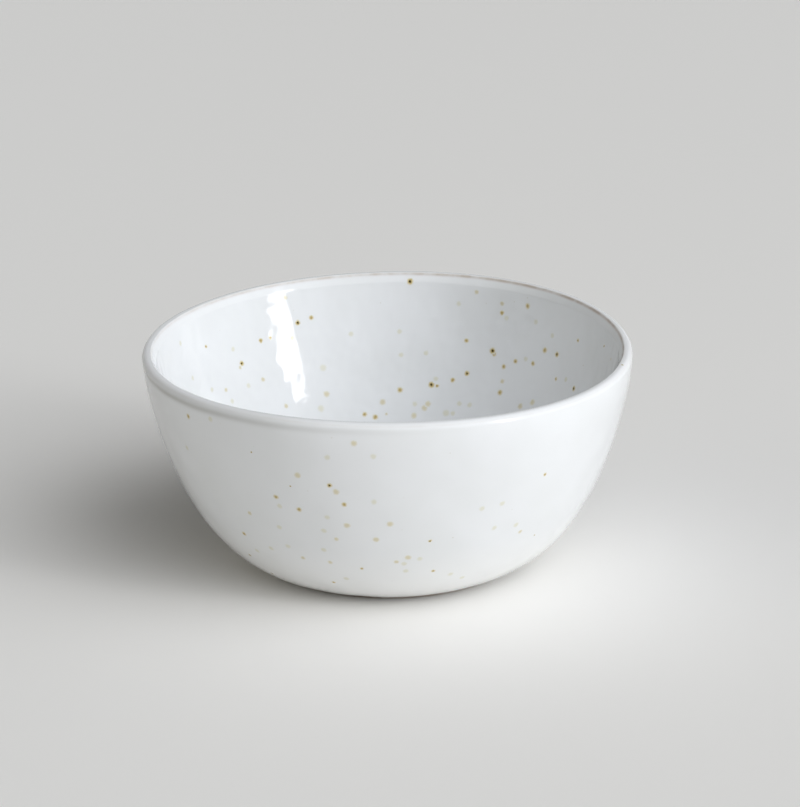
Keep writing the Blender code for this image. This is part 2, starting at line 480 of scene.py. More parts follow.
@dataclass(frozen=True)
class WhiteGlaze(Finish):
    """Glossy cool-white glaze with iron specks, a tan lip break, painted shade at the lip and painted floor
    light low down.
    """

    name: str = "white_glaze"
    white: Colour = (0.828, 0.845, 0.862)
    pooled: Colour = (0.805, 0.823, 0.834)
    # Painted light: the outside is painted lighter towards the foot, standing for light thrown up from the
    # floor.
    floor_lit_white: Colour = (0.905, 0.910, 0.900)
    # Painted shade: the grey line under the lip's bead on the side away from the light.
    shade_grey: Colour = (0.42, 0.42, 0.40)
    # Tan of the real glaze break along the lip, darkened to serve also as painted shade along the inner edge
    # on the shaded side.
    tan_break_and_shade: Colour = (0.50, 0.415, 0.345)
    faint: Colour = (0.68, 0.66, 0.46)
    ochre: Colour = (0.64, 0.51, 0.16)
    brown: Colour = (0.34, 0.215, 0.022)
    iron: Colour = (0.020, 0.012, 0.003)
    pinpoint: Colour = (0.55, 0.52, 0.42)
    cloud_size: float = 0.030
    cloud_edge: Span = (0.35, 0.70)
    pinpoint_spacing: float = 0.0060
    pinpoint_radius: float = 0.075
    pinpoint_core: float = 0.3
    pinpoint_edge: Span = (0.40, 0.75)
    pinpoint_share: float = 0.5
    patch_size: float = 0.006
    patch_edge: Span = (0.32, 0.66)
    patch_least: float = 0.45
    patch_more: float = 0.55
    peel_size: float = 0.0045
    peel_height: float = 0.000020
    gloss: float = 0.06
    dulling: float = 0.04
    dulling_size: float = 0.012
    thin_dulling: float = 0.12
    wobble_size: float = 0.0009
    wobble: float = 0.0006
    noise_middle: Colour = (0.5, 0.5, 0.5)
    least_radius: float = 1e-6
    ochre_depth: Span = (0.10, 0.60)
    stain_edge: Span = (0.35, 1.20)
    stain_least: float = 0.42
    stain_more: float = 0.48
    middle_edge: Span = (0.00, 0.80)
    middle_depth: Span = (0.30, 0.80)
    middle_share: float = 0.90
    core_edge: Span = (0.16, 0.50)
    core_depth: Span = (0.70, 0.95)
    core_share: float = 0.97

    def speckled(self, sheet: NodeSheet, place: Any, under: Any) -> Any:
        """The colour with the painted specks over it: a soft stain, a brown middle and a core of iron.

        Args:
            sheet: The material's nodes.
            place: Where the surface is.
            under: The colour beneath the specks.

        Returns:
            The colour's output socket.
        """
        noise = sheet.noise(place, self.wobble_size, Roughening.LITTLE, "Color")
        stray = sheet.vector("SUBTRACT", noise, self.noise_middle)
        wobbled = sheet.vector("ADD", place, sheet.vector("MULTIPLY", stray, (self.wobble,) * 3))
        radius = sheet.painted("speck_radius", "Fac").at_least(self.least_radius)
        away = sheet.vector("DISTANCE", wobbled, sheet.painted("speck_middle", "Vector"), "Value") / radius
        depth = sheet.painted("speck_depth", "Fac")
        stain = (1 - away.ramp(*self.stain_edge)) * (self.stain_least + self.stain_more * depth)
        middle = self.middle_share * (1 - away.ramp(*self.middle_edge)) * depth.ramp(*self.middle_depth)
        core = self.core_share * (1 - away.ramp(*self.core_edge)) * depth.ramp(*self.core_depth)
        tint = sheet.mixed(depth.ramp(*self.ochre_depth), self.faint, self.ochre)
        colour = sheet.mixed(stain, under, tint)
        return sheet.mixed(core, sheet.mixed(middle, colour, self.brown), self.iron)

    def lay(self, sheet: NodeSheet) -> None:
        """Lays out a clouded white, its pinpoints, the lip break, painted shade at the lip, painted floor
        light and the specks.
        """
        place = sheet.place()
        clouds = sheet.noise(place, self.cloud_size).ramp(*self.cloud_edge)
        colour = sheet.mixed(clouds, self.white, self.pooled)
        inner = self.pinpoint_core * self.pinpoint_radius
        points = sheet.dots(place, self.pinpoint_spacing, inner, self.pinpoint_radius)
        strength = sheet.noise(place, self.pinpoint_spacing, Roughening.NONE).ramp(*self.pinpoint_edge)
        colour = sheet.mixed(points * strength * self.pinpoint_share, colour, self.pinpoint)
        patchy = sheet.noise(place, self.patch_size, Roughening.MUCH).ramp(*self.patch_edge)
        # The line along the lip is partly the real thin glaze break and partly painted shade on the shaded
        # side.
        thin = sheet.painted("lip_break_and_shade", "Fac") * (self.patch_least + self.patch_more * patchy)
        colour = sheet.mixed(thin, colour, self.tan_break_and_shade)
        # Painted light: lighter towards the foot, standing for light thrown up from the floor.
        colour = sheet.mixed(sheet.painted("painted_floor_light", "Fac"), colour, self.floor_lit_white)
        # Painted shade: a grey line under the lip's bead on the side away from the light.
        colour = sheet.mixed(sheet.painted("painted_under_lip_shade", "Fac"), colour, self.shade_grey)
        colour = self.speckled(sheet, place, colour)
        dull = self.dulling * sheet.noise(place, self.dulling_size, Roughening.MUCH)
        normal = sheet.bump(sheet.noise(place, self.peel_size, Roughening.LITTLE), self.peel_height)
        roughness = self.gloss + dull + self.thin_dulling * thin
        sheet.surface({"Base Color": colour, "Roughness": roughness, "Normal": normal})


@dataclass(frozen=True)
class FiredClay(Finish):
    """Bare, matt, warm buff-brown stoneware with a fine sandy grain and the rings of the turning tool."""

    name: str = "fired_clay"
    light: Colour = (0.38, 0.235, 0.135)
    dark: Colour = (0.25, 0.145, 0.075)
    grog: Colour = (0.12, 0.075, 0.045)
    grog_spacing: float = 0.0021
    grog_radii: Span = (0.07, 0.17)
    grog_share: float = 0.8
    grain_size: float = 0.0006
    patch_size: float = 0.009
    tone_edge: Span = (0.3, 0.7)
    tone_share: float = 0.5
    ring_pitch: float = 0.0011
    ring_relief: float = 0.45
    grain_relief: float = 0.55
    relief: float = 0.00006
    roughness: float = 0.70
    grain_roughness: float = 0.18

    def lay(self, sheet: NodeSheet) -> None:
        """Lays out two tones of clay, dark flecks, the grain and the rings."""
        place = sheet.place()
        grain = sheet.noise(place, self.grain_size, Roughening.MUCH)
        patch = sheet.noise(place, self.patch_size)
        fine, broad = (self.tone_share * noise.ramp(*self.tone_edge) for noise in (grain, patch))
        colour = sheet.mixed(fine + broad, self.light, self.dark)
        flecks = sheet.dots(place, self.grog_spacing, *self.grog_radii)
        colour = sheet.mixed(self.grog_share * flecks, colour, self.grog)
        flat = sheet.vector("MULTIPLY", place, (1.0, 1.0, 0.0))
        radius = sheet.vector("LENGTH", flat, (0.0, 0.0, 0.0), "Value")
        rings = radius.math("SINE", radius * (2 * pi / self.ring_pitch)) * 0.5 + 0.5
        normal = sheet.bump(self.grain_relief * grain + self.ring_relief * rings, self.relief)
        roughness = self.roughness + self.grain_roughness * grain
        sheet.surface({"Base Color": colour, "Roughness": roughness, "Normal": normal})


@dataclass(frozen=True)
class PaleFloor(Finish):
    """A plain, pale, matt floor that mirrors nothing."""

    name: str = "pale_floor"
    colour: Colour = (0.885, 0.877, 0.859)
    mirroring: float = 0.0

    def lay(self, sheet: NodeSheet) -> None:
        """Lays out one plain colour."""
        sheet.surface({"Base Color": (*self.colour, 1.0), "Specular IOR Level": self.mirroring})


@dataclass
class Viewpoint:
    """The camera, where the photograph was taken from."""

    place: Vector = field(default_factory=lambda: Vector((0.0045, -1.8767, 0.7130)))
    pitch_down: float = radians(19.20)
    roll: float = radians(-0.38)
    focal_length: float = 0.243
    sensor_width: float = 0.036

    def turn(self) -> Matrix:
        """The camera's rotation: level along +Y, pitched down, then rolled about its own line of sight."""
        pitch = Euler((pi / 2 - self.pitch_down, 0, 0)).to_matrix()
        return pitch @ Matrix.Rotation(self.roll, 3, "Z")

    def build(self) -> None:
        """Makes the camera and hands it to the scene."""
        millimetres = 1000
        data = bpy.data.cameras.new("viewpoint")
        data.sensor_fit = "HORIZONTAL"
        data.sensor_width = self.sensor_width * millimetres
        data.lens = self.focal_length * millimetres
        camera = bpy.data.objects.new("viewpoint", data)
        bpy.context.scene.collection.objects.link(camera)
        camera.location = self.place
        camera.rotation_euler = self.turn().to_euler()
        bpy.context.scene.camera = camera

    def sight(self, pixel: Pixel) -> Vector:
        """The direction in which the camera sees a pixel of the photograph."""
        width, height = PICTURE_SIZE
        focus = width * self.focal_length / self.sensor_width
        across = (pixel[0] - width / 2) / focus
        up = (height / 2 - pixel[1]) / focus
        return (self.turn() @ Vector((across, up, -1))).normalized()


class Wheel:
    """The potter's wheel: turns an outline into a closed mesh with Blender's own tools."""

    merge_distance: ClassVar[float] = 1e-6
    sharp_angle: ClassVar[float] = radians(50)

    @classmethod
    def turn(cls, name: str, outline: list[Vector], steps: int) -> bpy.types.Object:
        """Turns an outline about the vertical axis.

        Args:
            name: The new piece's name.
            outline: Points as (radius, height). Both ends lie on the axis, or the last is the first.
            steps: How many steps make a full turn.

        Returns:
            The piece, at the origin, with its faces pointing out.
        """
        first = outline[0]
        bpy.ops.object.select_all(action="DESELECT")
        bpy.ops.mesh.primitive_plane_add(size=first.length, location=(first.x, 0, first.y))
        piece = bpy.context.object
        piece.name = name
        piece.data.name = name
        bpy.ops.object.transform_apply(location=True)
        bpy.ops.object.mode_set(mode="EDIT")
        bpy.ops.mesh.select_all(action="SELECT")
        bpy.ops.mesh.merge(type="CENTER")
        for start, end in zip(outline, outline[1:]):
            step = (end.x - start.x, 0, end.y - start.y)
            bpy.ops.mesh.extrude_vertices_move(TRANSFORM_OT_translate={"value": step})
        bpy.ops.mesh.select_all(action="SELECT")
        bpy.ops.mesh.spin(steps=steps, angle=2 * pi, center=(0, 0, 0), axis=(0, 0, 1))
        bpy.ops.mesh.select_all(action="SELECT")
        bpy.ops.mesh.remove_doubles(threshold=cls.merge_distance)
        bpy.ops.mesh.normals_make_consistent(inside=False)
        bpy.ops.object.mode_set(mode="OBJECT")
        return piece

    @classmethod
    def smooth(cls, piece: bpy.types.Object) -> None:
        """Shades a piece smooth, apart from its sharp edges."""
        bpy.ops.object.select_all(action="DESELECT")
        piece.select_set(True)
        bpy.context.view_layer.objects.active = piece
        bpy.ops.object.shade_smooth_by_angle(angle=cls.sharp_angle)


def read(items: Any, name: str, width: int, kind: type = np.float32) -> np.ndarray:
    """One property of many mesh items, as rows of a width."""
    flat = np.empty(len(items) * width, kind)
    items.foreach_get(name, flat)
    return flat.reshape(-1, width)


def points_of(piece: bpy.types.Object) -> np.ndarray:
    """A piece's points as rows of x, y and z."""
    return read(piece.data.vertices, "co", 3).astype(float)


def move_points(piece: bpy.types.Object, points: np.ndarray) -> None:
    """Moves a piece's points to rows of x, y and z."""
    piece.data.vertices.foreach_set("co", points.astype(np.float32).ravel())
    piece.data.update()


def paint(piece: bpy.types.Object, name: str, values: np.ndarray, domain: str = "FACE") -> None:
    """Paints a number or a vector on each of a piece's faces or points, under a name."""
    vectors = values.ndim == 2
    layer = piece.data.attributes.new(name, "FLOAT_VECTOR" if vectors else "FLOAT", domain)
    layer.data.foreach_set("vector" if vectors else "value", values.astype(np.float32).ravel())


@dataclass
class Turned:
    """A turned piece that stands for one of the plain solids. Some of its points are on its shown side."""

    shape: ThrownShape
    name: str = ""
    node: str = ""
    slot: str = ""
    piece: bpy.types.Object | None = None
    shown: np.ndarray | None = None

    def shown_faces(self) -> np.ndarray:
        """Which faces lie wholly on the shown side."""
        corners = read(self.piece.data.loops, "vertex_index", 1, np.int32)[:, 0]
        starts = read(self.piece.data.polygons, "loop_start", 1, np.int32)[:, 0]
        return np.logical_and.reduceat(self.shown[corners], starts)

    def lay_out(self, out: np.ndarray) -> None:
        """Gives the piece a map for baking: a round chart of its shown side, and the rest small in a corner.

        Args:
            out: How far out from the chart's middle each point lies.
        """
        middle = 0.5
        shown_radius = 0.49
        corner = 0.07
        corner_radius = 0.06
        mesh = self.piece.data
        points = points_of(self.piece)
        bearing = bearings(points)
        around = np.stack([np.cos(bearing), np.sin(bearing)], 1)
        reach = reaches(points)
        round_chart = middle + shown_radius * (out / out[self.shown].max())[:, None] * around
        small_chart = corner + corner_radius * (reach / reach.max())[:, None] * around
        corners = read(mesh.loops, "vertex_index", 1, np.int32)[:, 0]
        counts = read(mesh.polygons, "loop_total", 1, np.int32)[:, 0]
        showing = np.repeat(self.shown_faces(), counts)
        chart = np.where(showing[:, None], round_chart[corners], small_chart[corners])
        layer = mesh.uv_layers.new(name=BAKE_MAP)
        layer.data.foreach_set("uv", chart.astype(np.float32).ravel())

    def dress(self, finish: bpy.types.Material) -> None:
        """Gives the piece its finish, rides it on the bowl and lets it stand for its plain solid."""
        self.piece.data.materials.append(finish)
        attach(self.piece, "root")
        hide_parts(self.node)
        LOG.info("%s stands for %s: %d faces", self.name, self.node, len(self.piece.data.polygons))


@dataclass
class Speck:
    """A speck of iron in the glaze: its middle, its radius and its kind."""

    middle: Vector
    radius: float
    kind: SpeckKind


@dataclass
class Glazed(Turned):
    """A turned piece of glaze, which may be speckled."""

    slot: str = "white_glaze"
    speck_reach: float = 1.3
    speck_spare: float = 0.0016

    def speckle(self, specks: list[Speck]) -> None:
        """Paints specks: each face near one learns its middle, its radius and how strongly it shows."""
        centres = read(self.piece.data.polygons, "center", 3)
        middles = np.zeros((len(centres), 3))
        radii = np.zeros(len(centres))
        depths = np.zeros(len(centres))
        nearest = np.full(len(centres), np.inf)
        for speck in specks:
            away = np.linalg.norm(centres - np.array(speck.middle), axis=1)
            near = away < self.speck_reach * speck.radius + self.speck_spare
            closer = near & (away / speck.radius < nearest)
            nearest[closer] = away[closer] / speck.radius
            middles[closer] = speck.middle
            radii[closer] = speck.radius
            depths[closer] = speck.kind.value
        paint(self.piece, "speck_middle", middles)
        paint(self.piece, "speck_radius", radii)
        paint(self.piece, "speck_depth", depths)
        LOG.info("%s has %d specks", self.name, len(specks))


@dataclass(frozen=True)
class HandMarks:
    """Soft lumps that fingers leave in the clay: their size and how high they stand."""

    name: str
    size: float
    height: float


@dataclass
class Coat(Glazed):
    """A coat of glaze: a closed skin with a shown side and a side against the clay."""

    turn_steps: int = 384
    wall_steps: int = 90
    lip_steps: int = 24
    edge_steps: int = 14
    soft_steps: int = 40
    crest_steps: int = 3
    hidden_wall_steps: int = 24
    hidden_edge_steps: int = 3
    hand_marks: ClassVar[tuple[HandMarks, ...]] = (
        HandMarks("lumps", 0.0110, 0.00022),
        HandMarks("sway", 0.0300, 0.00045),
    )
    calm_edge: float = 0.004
    weight_levels: int = 24
    thin_line: float = 0.00035
    thin_share: float = 0.0
    shade_swing: float = 0.0
    thin_turn: float = 1.0
    shade_bearing: float = radians(20)
    stations: list[Station] = field(default_factory=list)
    below_crest: np.ndarray | None = None

    def shown_stations(self) -> list[Station]:
        """Stations along the shown surface, from the foot or the floor to the middle of the crest."""
        raise NotImplementedError

    def hidden_points(self) -> list[Vector]:
        """Points along the side against the clay, from the middle of the crest back down."""
        raise NotImplementedError

    def thin_place(self) -> float:
        """How far from the crest's middle, along the surface, the glaze breaks thin."""
        raise NotImplementedError

    def build(self) -> None:
        """Turns the coat, works it by hand, paints its lip break and its painted light and shade, and lays
        out its chart.
        """
        self.stations = self.shown_stations()
        outline = [station.point for station in self.stations] + self.hidden_points()
        self.piece = Wheel.turn(self.name, outline, self.turn_steps)
        points = points_of(self.piece)
        self.below_crest = self.measure(points)
        move_points(self.piece, self.shape.by_hand(self.trim(points)))
        self.shown = self.below_crest >= 0
        self.knead()
        self.wear(bearings(points))
        self.lay_out(self.stations[0].point.x + self.below_crest.max() - self.below_crest)
        Wheel.smooth(self.piece)

    def wear(self, bearing: np.ndarray) -> None:
        """Paints where the glaze has run thin along the lip, with painted shade that grows towards one side
        where a swing is set.
        """
        line = np.exp(-(((self.below_crest - self.thin_place()) / self.thin_line) ** 2))
        # Painted shade: the swing darkens the line towards one bearing, on the inside the shaded right side;
        # the rest is the real glaze break.
        share = self.thin_share + self.shade_swing * np.cos(bearing - self.shade_bearing)
        paint(self.piece, "lip_break_and_shade", share * line * self.shown, "POINT")

    def trim(self, points: np.ndarray) -> np.ndarray:
        """Where the turned points go before the rim is waved. A plain coat leaves them."""
        return points

    def measure(self, points: np.ndarray) -> np.ndarray:
        """How far each turned point lies along the surface from the crest's middle, or -1 by the clay."""
        finder = KDTree(len(self.stations))
        lengths = [0.0]
        for later, earlier in zip(self.stations[::-1], self.stations[-2::-1]):
            lengths.append(lengths[-1] + (later.point - earlier.point).length)
        for index, station in enumerate(self.stations[::-1]):
            finder.insert((station.point.x, 0, station.point.y), index)
        finder.balance()
        same_place = 1e-5
        below = np.full(len(points), -1.0)
        for row, (x, y, z) in enumerate(points):
            _, index, distance = finder.find((hypot(x, y), 0, z))
            if distance < same_place:
                below[row] = lengths[index]
        return below

    def knead(self) -> None:
        """Gives the shown surface the soft lumps that fingers leave, fading out towards its edges."""
        calm = np.minimum(self.below_crest, self.below_crest.max() - self.below_crest) / self.calm_edge
        levels = np.round(self.weight_levels * np.clip(calm, 0, 1)).astype(int)
        group_name = "kneaded"
        group = self.piece.vertex_groups.new(name=group_name)
        for level in range(1, self.weight_levels + 1):
            group.add(np.nonzero(levels == level)[0].tolist(), level / self.weight_levels, "REPLACE")
        bpy.context.view_layer.objects.active = self.piece
        for marks in self.hand_marks:
            clouds = bpy.data.textures.new(f"{self.name}_{marks.name}", "CLOUDS")
            clouds.noise_scale = marks.size
            clouds.noise_depth = 0
            modifier = self.piece.modifiers.new(marks.name, "DISPLACE")
            modifier.texture = clouds
            modifier.texture_coords = "LOCAL"
            modifier.strength = marks.height
            modifier.mid_level = 0.5
            modifier.vertex_group = group_name
            bpy.ops.object.modifier_apply(modifier=modifier.name)
        self.piece.vertex_groups.clear()

    def half_crest(self) -> float:
        """How far the flat crest runs to each side of its middle."""
        ends = self.shape.crest(1)
        return (ends[0].point - ends[1].point).length / 2


@dataclass
class InsideCoat(Coat):
    """The coat poured inside, from the middle of the lip's crest down over the floor."""

    name: str = "poured_inside_coat"
    node: str = "inside_glaze"
    floor_steps: int = 40
    hand_marks: ClassVar[tuple[HandMarks, ...]] = (HandMarks("ridges", 0.0030, 0.00022), *Coat.hand_marks)
    calm_edge: float = 0.010
    # Along the inner edge the line is partly the tan glaze break and partly painted shade, darkest on the
    # right where the edge is in shade.
    thin_line: float = 0.00055
    thin_share: float = 0.60
    shade_swing: float = 0.35
    thin_turn: float = 1.4

    def shown_stations(self) -> list[Station]:
        """Stations from the axis out over the floor, up the wall and over the lip's inner edge."""
        crest = self.shape.crest(2 * self.crest_steps)[self.crest_steps :]
        down = crest + self.shape.lip_inside(self.edge_steps, self.soft_steps)[1:]
        down += self.shape.inside(self.wall_steps) + self.shape.floor(self.floor_steps)
        return down[::-1]

    def hidden_points(self) -> list[Vector]:
        """Points from the crest back down the clay side to the axis."""
        crest = self.shape.crest(2)[1:]
        down = crest + self.shape.lip_inside(self.hidden_edge_steps, self.hidden_edge_steps)[1:]
        down += self.shape.inside(self.hidden_wall_steps) + self.shape.floor(self.hidden_edge_steps)
        return [station.lifted(-self.shape.glaze_thickness).point for station in down]

    def thin_place(self) -> float:
        """The lip's inner edge."""
        return self.half_crest() + self.thin_turn * self.shape.lip_inner_radius


@dataclass
class OutsideCoat(Coat):
    """The coat dipped outside, from a soft roll above the foot ring up to the middle of the lip's crest."""

    name: str = "dipped_outside_coat"
    node: str = "outside_glaze"
    thin_share: float = 0.12
    thin_turn: float = 0.9
    roll_swell: float = 0.00015
    roll_height: float = 0.0022
    bead_fade: float = 0.0020
    # Painted shade: a grey line under the bead, strongest on the side away from the light.
    under_lip_shade_share: float = 0.72
    under_lip_shade_depth: float = 0.00085
    under_lip_shade_width: float = 0.0012
    under_lip_shade_bearing: float = radians(200)
    under_lip_shade_focus: float = 6.0
    # Painted floor light fades out this high above the foot.
    floor_light_height: float = 0.030
    line_wander: float = 0.00025
    line_waves: ClassVar[tuple[tuple[int, float], ...]] = ((3, 0.4), (7, 2.1), (13, 4.0))

    def shown_stations(self) -> list[Station]:
        """Stations from the glaze line up the wall, over the lip's outer edge to the crest's middle."""
        wall = []
        lowest = self.shape.wall(0).point
        for station in self.shape.outside(self.wall_steps, self.lip_steps):
            gone = (station.point - lowest).length / self.roll_height
            wall.append(station.lifted(self.roll_swell * (1 - eased(gone))))
        half = self.shape.glaze_thickness / 2
        nose = wall[0].point - half * heading(self.shape.wall_lean_at_foot) - half * wall[0].facing
        lip = self.shape.lip_outside(self.edge_steps)
        crest = self.shape.crest(2 * self.crest_steps)[1 : self.crest_steps + 1]
        return [Station(nose, wall[0].facing)] + wall + lip + crest

    def hidden_points(self) -> list[Vector]:
        """Points from the crest back down the clay side to the glaze line, and round to the first."""
        crest = self.shape.crest(2)[1::-1]
        down = crest + self.shape.lip_outside(self.hidden_edge_steps)[-2::-1]
        down += self.shape.outside(self.hidden_wall_steps)[::-1]
        points = [station.lifted(-self.shape.glaze_thickness).point for station in down]
        return points + [self.shown_stations()[0].point]

    def thin_place(self) -> float:
        """The lip's outer edge."""
        return self.half_crest() + self.thin_turn * self.shape.lip_outer_radius

    def trim(self, points: np.ndarray) -> np.ndarray:
        """Lets the glaze line wander, and swells the lip out to a bead over the wall."""
        bearing = bearings(points)
        course = heading(self.shape.wall_lean_at_foot)
        shift = self.wander(points, bearing)
        outward = self.bead(bearing) + course.x * shift
        return points + np.stack([outward * np.cos(bearing), outward * np.sin(bearing), course.y * shift], 1)

    def wander(self, points: np.ndarray, bearing: np.ndarray) -> np.ndarray:
        """How far each point moves up the wall with the glaze line, fading out above the roll."""
        wave = sum(np.sin(count * bearing + start) for count, start in self.line_waves) / len(self.line_waves)
        lowest = self.shape.wall(0).point
        along = np.hypot(reaches(points) - lowest.x, points[:, 2] - lowest.y)
        return self.line_wander * wave * np.clip(1 - along / (2 * self.roll_height), 0, 1) ** 2

    def under_lip(self) -> np.ndarray:
        """How far each point lies under the lip's outer edge, along the surface."""
        edge = self.shape.lip_outer_radius * (pi / 2 - self.shape.lip_start)
        return self.below_crest - self.half_crest() - edge

    def bead(self, bearing: np.ndarray) -> np.ndarray:
        """How far each point of the lip swells out over the wall, on the lip's crisp side."""
        turned = np.clip((self.below_crest - self.half_crest()) / self.shape.lip_outer_radius, 0, pi / 2)
        swell = np.sin(turned) * (1 - eased(self.under_lip() / self.bead_fade))
        return self.shape.bead_swell * swell * (1 - self.shape.softness(bearing))

    def wear(self, bearing: np.ndarray) -> None:
        """Paints the lip break, painted shade in the hollow under the bead, and painted floor light, lighter
        towards the foot.
        """
        super().wear(bearing)
        # Painted shade: a grey line under the bead, strongest on the side away from the light.
        line = np.exp(-(((self.under_lip() - self.under_lip_shade_depth) / self.under_lip_shade_width) ** 2))
        near = ((1 + np.cos(bearing - self.under_lip_shade_bearing)) / 2) ** self.under_lip_shade_focus
        paint(self.piece, "painted_under_lip_shade", self.under_lip_shade_share * near * line * self.shown, "POINT")
        # Painted light: lighter towards the foot, standing for light thrown up from the floor.
        height = points_of(self.piece)[:, 2]
        paint(self.piece, "painted_floor_light", np.clip(1 - height / self.floor_light_height, 0, 1), "POINT")


@dataclass
class ClayBody(Turned):
    """The thrown clay: wall, floor and turned foot ring, bare only at the foot."""

    name: str = "thrown_clay_body"
    node: str = "stoneware_body"
    slot: str = "fired_clay"
    turn_steps: int = 256
    wall_steps: int = 24
    edge_steps: int = 6
    lip_outer_steps: int = 2
    lip_inner_steps: int = 1

    def build(self) -> None:
        """Turns the clay, takes the hand's unevenness and lays out a chart of the foot."""
        shape = self.shape
        over = shape.outside(self.wall_steps) + shape.lip_outside(self.lip_outer_steps)
        over += shape.lip_inside(self.lip_inner_steps, self.edge_steps)[1:]
        over += shape.inside(self.wall_steps) + shape.floor(self.edge_steps)
        outline = [station.point for station in shape.under_foot(self.edge_steps)]
        outline += [station.lifted(-shape.coat).point for station in over]
        self.piece = Wheel.turn(self.name, outline, self.turn_steps)
        points = points_of(self.piece)
        reach = reaches(points)
        ceiling = shape.recess_depth + shape.coat
        self.shown = (points[:, 2] < ceiling + shape.bond_gap) & (reach < shape.foot_radius + shape.bond_gap)
        move_points(self.piece, shape.by_hand(points))
        self.lay_out(reach + np.where(reach > shape.foot_radius - shape.bond_gap, points[:, 2], 0))
        Wheel.smooth(self.piece)


@dataclass
class UndersidePatch(Glazed):
    """The patch of glaze in the recess, with a soft rolled edge inside a bare band."""

    name: str = "underside_glaze_patch"
    node: str = "underside_glaze"
    turn_steps: int = 192
    edge_steps: int = 6
    across_steps: int = 20

    def build(self) -> None:
        """Turns the patch: flat against the clay, with a round edge."""
        shape = self.shape
        glaze = shape.glaze_thickness
        radius = shape.foot_radius - shape.foot_ring_width - shape.recess_fillet - shape.bare_recess_band
        top = shape.recess_depth + glaze
        edge = arc(Vector((radius - glaze, top)), glaze, 0, -pi / 2, self.edge_steps)
        outline = [Vector((0, top))] + [station.point for station in edge]
        inner = edge[-1].point
        for step in range(1, self.across_steps + 1):
            outline.append(Vector((inner.x * (1 - step / self.across_steps), inner.y)))
        self.piece = Wheel.turn(self.name, outline, self.turn_steps)
        points = points_of(self.piece)
        reach = reaches(points)
        self.shown = reach + top - points[:, 2] > Wheel.merge_distance
        move_points(self.piece, shape.by_hand(points))
        self.lay_out(reach + points[:, 2] - inner.y)
        Wheel.smooth(self.piece)


@dataclass(frozen=True)
class SpeckGroup:
    """Specks of one kind and size that the photograph shows, by the pixels of their middles."""

    kind: SpeckKind
    radius: float
    pixels: tuple[Pixel, ...]


